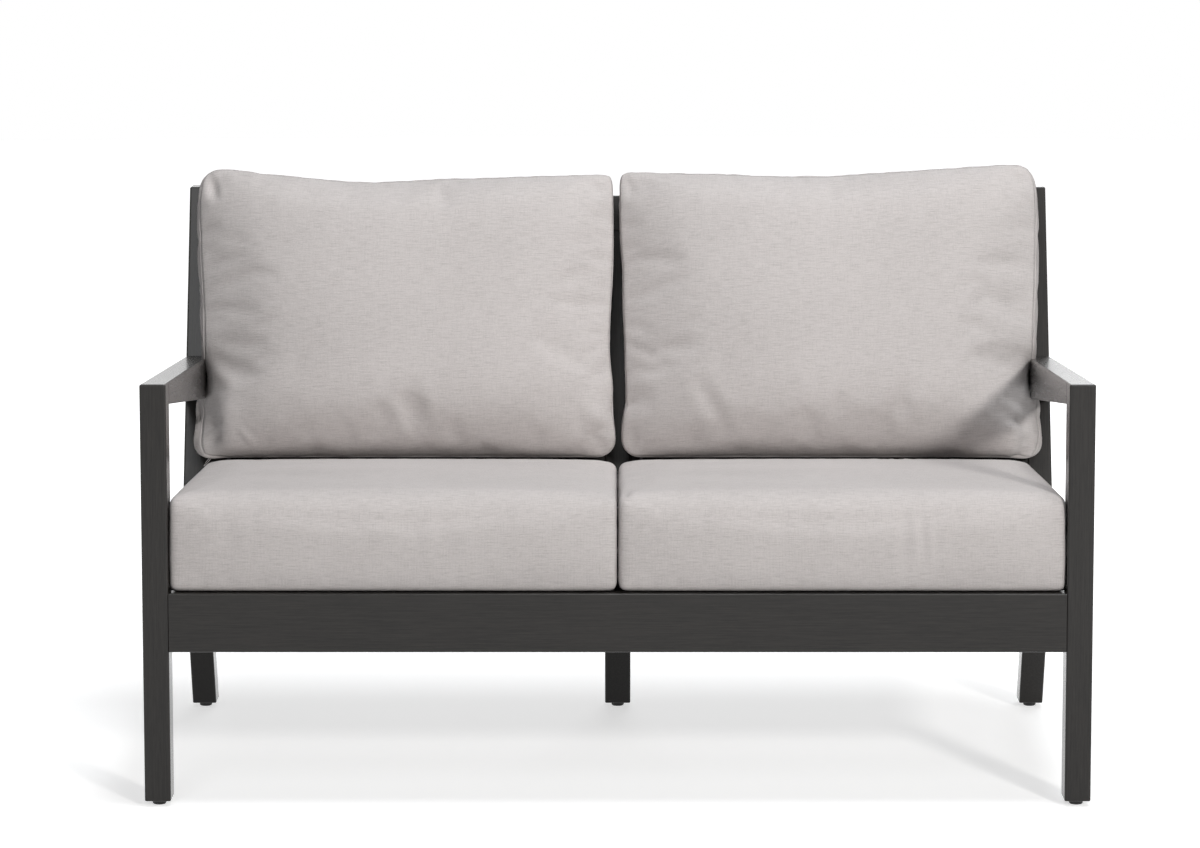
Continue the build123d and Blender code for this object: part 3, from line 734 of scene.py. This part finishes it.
# The outlines of the back cushions: shares across or up a side, and metres
BACK_OUTLINES = {
    "left": {
        "top": ((-1, 0.5650), (-0.9, 0.5649), (-0.6, 0.5614), (-0.2, 0.5570), (0.25, 0.5520), (0.45, 0.5580),
                (0.6, 0.5620), (0.8, 0.5705), (0.9, 0.5735), (1, 0.5720)),
        "inner": ((0, 0.011), (0.056, 0.0022), (0.125, 0.0050), (0.19, 0.0062), (0.26, 0.0066),
                  (0.33, 0.0098), (0.40, 0.0112), (0.53, 0.0092), (0.67, 0.0058), (0.85, 0.0055),
                  (1, 0.0066)),
        "outer": ((0, 0.652), (0.08, 0.660), (0.2, 0.658), (0.3, 0.650), (0.4, 0.649), (0.55, 0.6525),
                  (0.75, 0.659), (0.9, 0.661), (1, 0.656)),
    },
    "right": {
        "top": ((-1, 0.5690), (-0.85, 0.5680), (-0.5, 0.5650), (-0.1, 0.5610), (0.3, 0.5680), (0.7, 0.5770),
                (0.9, 0.5810), (1, 0.5805)),
        "inner": ((0, 0.013), (0.056, 0.0050), (0.125, 0.0062), (0.19, 0.0110), (0.33, 0.0097),
                  (0.40, 0.0092), (0.53, 0.0066), (0.67, 0.0058), (0.76, 0.0026), (0.88, 0.0016),
                  (1, 0.0020)),
        "outer": ((0, 0.652), (0.08, 0.661), (0.2, 0.659), (0.3, 0.652), (0.4, 0.653), (0.55, 0.656),
                  (0.75, 0.6605), (0.9, 0.661), (1, 0.655)),
    },
}


# Creases in metres: across and up of each end, width, depth
BACK_CREASES = {
    "left": ((-0.650, 0.200, -0.644, 0.120, 0.024, 0.012),
             (-0.645, 0.163, -0.622, 0.161, 0.005, 0.003), (-0.641, 0.141, -0.622, 0.139, 0.005, 0.003),
             (-0.588, 0.146, -0.570, 0.126, 0.005, -0.0025), (-0.322, 0.200, -0.299, 0.130, 0.015, 0.003),
             (-0.645, 0.560, -0.634, 0.520, 0.007, 0.004), (-0.036, 0.140, -0.016, 0.118, 0.007, 0.003),
             (-0.040, 0.185, -0.022, 0.145, 0.018, -0.005)),
    "right": ((0.628, 0.150, 0.610, 0.140, 0.022, -0.006), (0.644, 0.185, 0.638, 0.130, 0.014, 0.006),
              (0.598, 0.186, 0.634, 0.176, 0.008, -0.003), (0.605, 0.160, 0.640, 0.162, 0.006, 0.003),
              (0.616, 0.108, 0.643, 0.122, 0.005, 0.005), (0.128, 0.210, 0.172, 0.130, 0.013, 0.003),
              (0.448, 0.200, 0.404, 0.132, 0.016, 0.003),
              (0.010, 0.188, 0.026, 0.196, 0.006, 0.003), (0.011, 0.562, 0.020, 0.535, 0.007, 0.002)),
}
SEAT_CREASES = {
    "left": ((-0.250, 0.425, -0.245, 0.350, 0.014, 0.0012), (-0.560, 0.430, -0.565, 0.360, 0.016, 0.0012)),
    "right": ((0.414, 0.432, 0.410, 0.350, 0.009, 0.0018), (0.437, 0.438, 0.441, 0.356, 0.007, 0.0018),
              (0.458, 0.430, 0.461, 0.366, 0.007, 0.0014), (0.007, 0.4550, 0.012, 0.4555, 0.006, 0.005)),
}


class LOVESEAT_OT_back_cushions(bpy.types.Operator):
    """Makes both back cushions as settled cloth covers over their foam"""
    bl_idname = "loveseat.back_cushions"
    bl_label = "Back Cushions"

    def execute(self, context):
        s, sewing = settings("loveseat_back"), settings("loveseat_sewing")
        halves = (*BACK_CLOTH_HALVES, s.boxing / 2)
        counts = [max(2, round(2 * half / sewing.cell)) for half in halves]
        material = cover_material("back_cover_cloth")
        for name, side in SIDES:
            bm = grid_box(counts)
            lay_cloth(bm, halves, ((0, 2, 1, 1, 1), (1, 2, 1, 0, 1)))
            held = [vert.index for vert in bm.verts if vert.co.z < -0.99 or vert.co.y < -0.99
                    or vert.co.z > 0.99 and max(abs(vert.co.x), abs(vert.co.y)) > 0.99
                    or vert.co.x * side < -0.99 and vert.co.z > 0]
            for vert in bm.verts:
                vert.co = back_place(*(round(value, 6) for value in vert.co), side, BACK_OUTLINES[name])
            piece = new_piece("back_cover_" + name, bm)
            settle(piece, held, sewing.back_pressure, sewing.back_ease, sewing.back_cap)
            keep_side(piece, side)
            refine(piece)
            foot = BACK_FOOT.dot(BACK_UP)
            crease(piece, BACK_UP, BACK_OUT, [(a, b + foot, c, d + foot, *rest)
                                              for a, b, c, d, *rest in BACK_CREASES[name]])
            sew(piece)
            body = "back_cushion_" + name
            finish_cover(piece, body, (body + "_cover", body + "_filling"), material)
        return {"FINISHED"}


class LOVESEAT_OT_frame_coat(bpy.types.Operator):
    """Gives every tube its brushed coat, with the strokes along the tube"""
    bl_idname = "loveseat.frame_coat"
    bl_label = "Frame Coat"

    def execute(self, context):
        up = math.radians(-90)
        coats = {
            "across": coat_material("coat_across", (0, 0, 0)),
            "upright": coat_material("coat_upright", (0, up, 0)),
            "arm": coat_material("coat_arm", (0, ARM_FALL, math.radians(90))),
            "side": coat_material("coat_side_rail", (0, SEAT_SLOPE, math.radians(90))),
            "raked": coat_material("coat_raked", (0, up + BACK_RAKE, math.radians(90))),
            "splayed": coat_material("coat_splayed", (0, up - LEG_SPLAY, math.radians(-90))),
        }
        kinds = {"front_leg": "upright", "arm": "arm", "side_rail": "side", "center_bearer": "side",
                 "back_post": "raked", "rear_leg": "splayed", "back_slats": "raked"}
        for name in frame["record"]["behaviour"]["bodies"]["frame"]:
            kind = next((coat for start, coat in kinds.items() if name.startswith(start)), "across")
            dress(name, coats[kind])
        return {"FINISHED"}


class LOVESEAT_OT_glides(bpy.types.Operator):
    """Gives the glides their black plastic and their studs a plated finish"""
    bl_idname = "loveseat.glides"
    bl_label = "Glides"

    def execute(self, context):
        plastic = speckled_material("glide_plastic", (0.006, 0.006, 0.006), (0.02, 0.02, 0.02), 900, 0.55,
                                    0.0001)
        steel = speckled_material("stud_steel", (0.38, 0.38, 0.38), (0.55, 0.55, 0.54), 700, 0.35, 0.00005,
                                  metallic=0.9)
        for name in frame["nodes"]:
            if name.startswith("glide_pad"):
                dress(name, plastic)
            if name.startswith("glide_stud"):
                dress(name, steel)
        return {"FINISHED"}


def zip_point(kind, x, across, height):
    """A place at a zip of one kind: along the zip, across its tape and over the cover."""
    y, z, lean = ZIP_PLACES[kind]
    return Vector((x, y - math.sin(lean) * across + math.cos(lean) * height,
                   z + math.cos(lean) * across + math.sin(lean) * height))


def zip_bar(bm, kind, ends, across, heights, index):
    """A straight bar of a zip, between two places along, two across and two heights."""
    made = bmesh.ops.create_cube(bm, size=1)["verts"]
    for vert in made:
        share = vert.co + Vector((0.5, 0.5, 0.5))
        vert.co = zip_point(kind, between(*ends, share.x), between(*across, share.y),
                            between(*heights, share.z))
    for face in {face for vert in made for face in vert.link_faces}:
        face.material_index = index


def zip_tooth(bm, kind, x, across, z):
    """One tooth of the coil, a thin bar that lies over the middle of the tape."""
    s = settings("loveseat_zip")
    made = bmesh.ops.create_cone(bm, cap_ends=True, segments=8, radius1=s.tooth, radius2=s.tooth * 0.8,
                                 depth=abs(across[1] - across[0]))["verts"]
    for vert in made:
        vert.co = zip_point(kind, x + vert.co.x, sum(across) / 2 + vert.co.z, z + vert.co.y)
    for face in {face for vert in made for face in vert.link_faces}:
        face.material_index = 1
        face.smooth = len(face.verts) == 4


class LOVESEAT_OT_zips(bpy.types.Operator):
    """Makes the zips with their tapes and coils, and gives the sliders and pulls their finish"""
    bl_idname = "loveseat.zips"
    bl_label = "Zips"

    def execute(self, context):
        s = settings("loveseat_zip")
        cloth = speckled_material("zip_tape", (0.33, 0.31, 0.30), (0.46, 0.44, 0.42), 1200, 0.85, 0.0003)
        coil = speckled_material("zip_coil", (0.20, 0.19, 0.18), (0.28, 0.27, 0.26), 900, 0.45, 0.00005)
        metal = speckled_material("zip_metal", (0.045, 0.045, 0.047), (0.09, 0.09, 0.092), 600, 0.38, 0.00004,
                                  metallic=0.8)
        for kind in ZIP_PLACES:
            for name, side in SIDES:
                body = kind + "_" + name
                low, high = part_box(body + "_zip")
                start, end = low[0], high[0]
                bm = bmesh.new()
                for edge in (-1, 1):
                    tape = sorted((edge * s.gap, edge * s.tape / 2))
                    zip_bar(bm, kind, (start, end), tape, (CLEAR, s.tape_rise), 0)
                    root = s.gap + s.welt_inset
                    welt = sorted((edge * root, edge * (root + s.welt_width)))
                    zip_bar(bm, kind, (start, end), welt, (s.tape_rise - CLEAR, s.welt_rise), 0)
                    for first in (start + s.stop_inset, end - s.stop_inset - s.stop_length):
                        zip_bar(bm, kind, (first, first + s.stop_length), sorted((0, edge * s.stop_reach)),
                                (s.tape_rise - CLEAR, s.stop_rise), 2)
                for i in range(int((end - start - 2 * s.coil_inset) / s.pitch)):
                    edge = 1 if i % 2 else -1
                    reach = sorted((edge * s.tooth_reach, -edge * s.tooth_hook))
                    zip_tooth(bm, kind, start + s.coil_inset + i * s.pitch, reach, s.tooth_rise)
                bmesh.ops.recalc_face_normals(bm, faces=bm.faces[:])
                piece = new_piece(body + "_coil_zip", bm)
                for material in (cloth, coil, metal):
                    piece.data.materials.append(material)
                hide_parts(body + "_zip")
                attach(piece, body)
        for name in frame["nodes"]:
            if name.endswith(("_slider", "_pull")):
                dress(name, metal)
        return {"FINISHED"}


# The root of the corner tab, and the ways that its loop runs out and stands open
TAB_ROOT = (-0.6385, 0.1530, 0.4300)
TAB_OUT, TAB_OPEN = Vector((-0.637, 0, -0.771)), Vector((-0.771, 0, 0.637))
# Half the space inside the loop, the thickness of its cloth and the rounding of its edges
TAB_FOLD, TAB_CLOTH, TAB_ROUND = 0.0012, 0.0009, 0.0004


class LOVESEAT_OT_corner_tab(bpy.types.Operator):
    """Makes the small folded tab of cloth at the left back cushion's lower corner"""
    bl_idname = "loveseat.corner_tab"
    bl_label = "Corner Tab"

    def execute(self, context):
        s = settings("loveseat_back")
        bm = bmesh.new()
        bmesh.ops.create_grid(bm, x_segments=18, y_segments=6, size=0.5)
        x, y, z = TAB_ROOT
        for vert in bm.verts:
            turn, across = math.pi * (vert.co.x + 0.5), vert.co.y
            vert.co = Vector((x, y + s.tab_width * across, z))
            vert.co += TAB_OUT * s.tab_length * math.sin(turn) ** 0.8 + TAB_OPEN * TAB_FOLD * math.cos(turn)
        bmesh.ops.solidify(bm, geom=bm.faces[:], thickness=TAB_CLOTH)
        rims = [edge for edge in bm.edges if edge.calc_face_angle(0) > 1]
        bmesh.ops.bevel(bm, geom=rims, offset=TAB_ROUND, segments=2, profile=0.5, affect="EDGES",
                        material=-1, offset_type="OFFSET", clamp_overlap=True)
        bmesh.ops.recalc_face_normals(bm, faces=bm.faces[:])
        piece = new_piece("back_cushion_left_tab", bm)
        for polygon in piece.data.polygons:
            polygon.use_smooth = True
        piece.data.materials.append(cover_material("tab_cloth", "Object"))
        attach(piece, "back_cushion_left")
        return {"FINISHED"}


# Each lamp's place, the point that it looks at, its width and its colour
LAMPS = {
    "key": ((3.05, -6.8, 2.96), (0.1, 0, 0.5), 0.75, (1.0, 0.985, 0.965)),
    "fill": ((-1.3, -4.6, 4.2), (-0.3, 0, 0.7), 1.8, (0.97, 0.985, 1.0)),
    "top": ((0.7, -0.6, 5.0), (0, -0.1, 0.5), 2.4, (0.96, 0.98, 1.0)),
    "rear": ((0.4, 4.6, 2.6), (0, 0, 0.5), 3.0, (0.98, 0.99, 1.0)),
}


def area_light(name, place, aim, width, power, colour):
    """A soft lamp that looks at a point."""
    data = bpy.data.lights.new(name, "AREA")
    data.shape = "DISK"
    data.size = width
    data.energy = power
    data.color = colour
    lamp = bpy.data.objects.new(name, data)
    lamp.location = place
    lamp.rotation_euler = (Vector(aim) - Vector(place)).to_track_quat("-Z", "Y").to_euler()
    bpy.context.scene.collection.objects.link(lamp)


def seen_directly(tree):
    """One where the camera, a reflection or glass sees a surface, and zero for the light that it spreads."""
    path = node(tree, "ShaderNodeLightPath")
    both = calc(tree, "MAXIMUM", path.outputs["Is Camera Ray"], path.outputs["Is Glossy Ray"])
    return calc(tree, "MAXIMUM", both, path.outputs["Is Transmission Ray"])


class LOVESEAT_OT_stage(bpy.types.Operator):
    """Sets the pale floor, the soft lights and the camera"""
    bl_idname = "loveseat.stage"
    bl_label = "Stage"

    def execute(self, context):
        s = settings("loveseat_stage")
        scene = context.scene
        bm = bmesh.new()
        bmesh.ops.create_circle(bm, cap_ends=True, segments=96, radius=14)
        floor = new_piece("floor", bm)
        material, tree, shader = new_material("pale_floor")
        put(shader, {"Base Color": (0.74, 0.74, 0.74, 1), "Roughness": 0.9})
        place = node(tree, "ShaderNodeTexCoord")
        far = node(tree, "ShaderNodeVectorMath", operation="LENGTH")
        glow = node(tree, "ShaderNodeEmission")
        both = node(tree, "ShaderNodeAddShader")
        link(tree, place.outputs["Object"], far.inputs[0])
        share = spread(tree, far.outputs["Value"], 0.9, 3.2, 0.62, 1.0)
        link(tree, calc(tree, "MULTIPLY", share, seen_directly(tree)), glow.inputs["Strength"])
        link(tree, shader.outputs[0], both.inputs[0])
        link(tree, glow.outputs[0], both.inputs[1])
        link(tree, both.outputs[0], tree.nodes["Material Output"].inputs["Surface"])
        floor.data.materials.append(material)
        world = bpy.data.worlds.new("studio")
        world.use_nodes = True
        tree = world.node_tree
        background = tree.nodes["Background"]
        put(background, {"Color": (1, 1, 1, 1)})
        strength = node(tree, "ShaderNodeMapRange", {"To Min": s.ambient, "To Max": 1.0})
        link(tree, seen_directly(tree), strength.inputs["Value"])
        link(tree, strength.outputs["Result"], background.inputs["Strength"])
        scene.world = world
        for name, (place, aim, width, colour) in LAMPS.items():
            area_light(name, place, aim, width, getattr(s, name), colour)
        data = bpy.data.cameras.new("camera")
        data.sensor_fit = "HORIZONTAL"
        data.sensor_width = 36.0
        data.lens = s.lens
        data.shift_x = s.shift
        data.clip_end = 100
        camera = bpy.data.objects.new("camera", data)
        camera.location = (0, FRONT - s.distance, s.height)
        camera.rotation_euler = (math.radians(90) - s.pitch, 0, 0)
        scene.collection.objects.link(camera)
        scene.camera = camera
        scene.view_settings.view_transform = "Standard"
        return {"FINISHED"}


OPERATORS = (LOVESEAT_OT_frame_coat, LOVESEAT_OT_glides, LOVESEAT_OT_seat_cushions, LOVESEAT_OT_back_cushions,
             LOVESEAT_OT_zips, LOVESEAT_OT_corner_tab, LOVESEAT_OT_stage)
GROUPS = {"loveseat_coat": CoatLook, "loveseat_cover": CoverLook, "loveseat_seat": SeatSizes,
          "loveseat_back": BackSizes, "loveseat_sewing": SewingSizes, "loveseat_zip": ZipSizes,
          "loveseat_stage": StageSizes}


class LOVESEAT_PT_panel(bpy.types.Panel):
    """Lists the steps and the settings of the loveseat"""
    bl_idname = "LOVESEAT_PT_panel"
    bl_label = "Loveseat"
    bl_space_type = "VIEW_3D"
    bl_region_type = "UI"
    bl_category = "Loveseat"

    def draw(self, context):
        for operator in OPERATORS:
            self.layout.operator(operator.bl_idname)
        for name, group in GROUPS.items():
            box = self.layout.box()
            for key in group.__annotations__:
                box.prop(getattr(context.scene, name), key)


def register():
    for item in (*GROUPS.values(), *OPERATORS, LOVESEAT_PT_panel):
        bpy.utils.register_class(item)
    for name, group in GROUPS.items():
        setattr(bpy.types.Scene, name, PointerProperty(type=group))


def unregister():
    for name in GROUPS:
        delattr(bpy.types.Scene, name)
    for item in (LOVESEAT_PT_panel, *OPERATORS, *GROUPS.values()):
        bpy.utils.unregister_class(item)


def main():
    """Makes the whole loveseat, in order."""
    register()
    for operator in OPERATORS:
        area, name = operator.bl_idname.split(".")
        getattr(getattr(bpy.ops, area), name)()


if __name__ == "__main__":
    main()
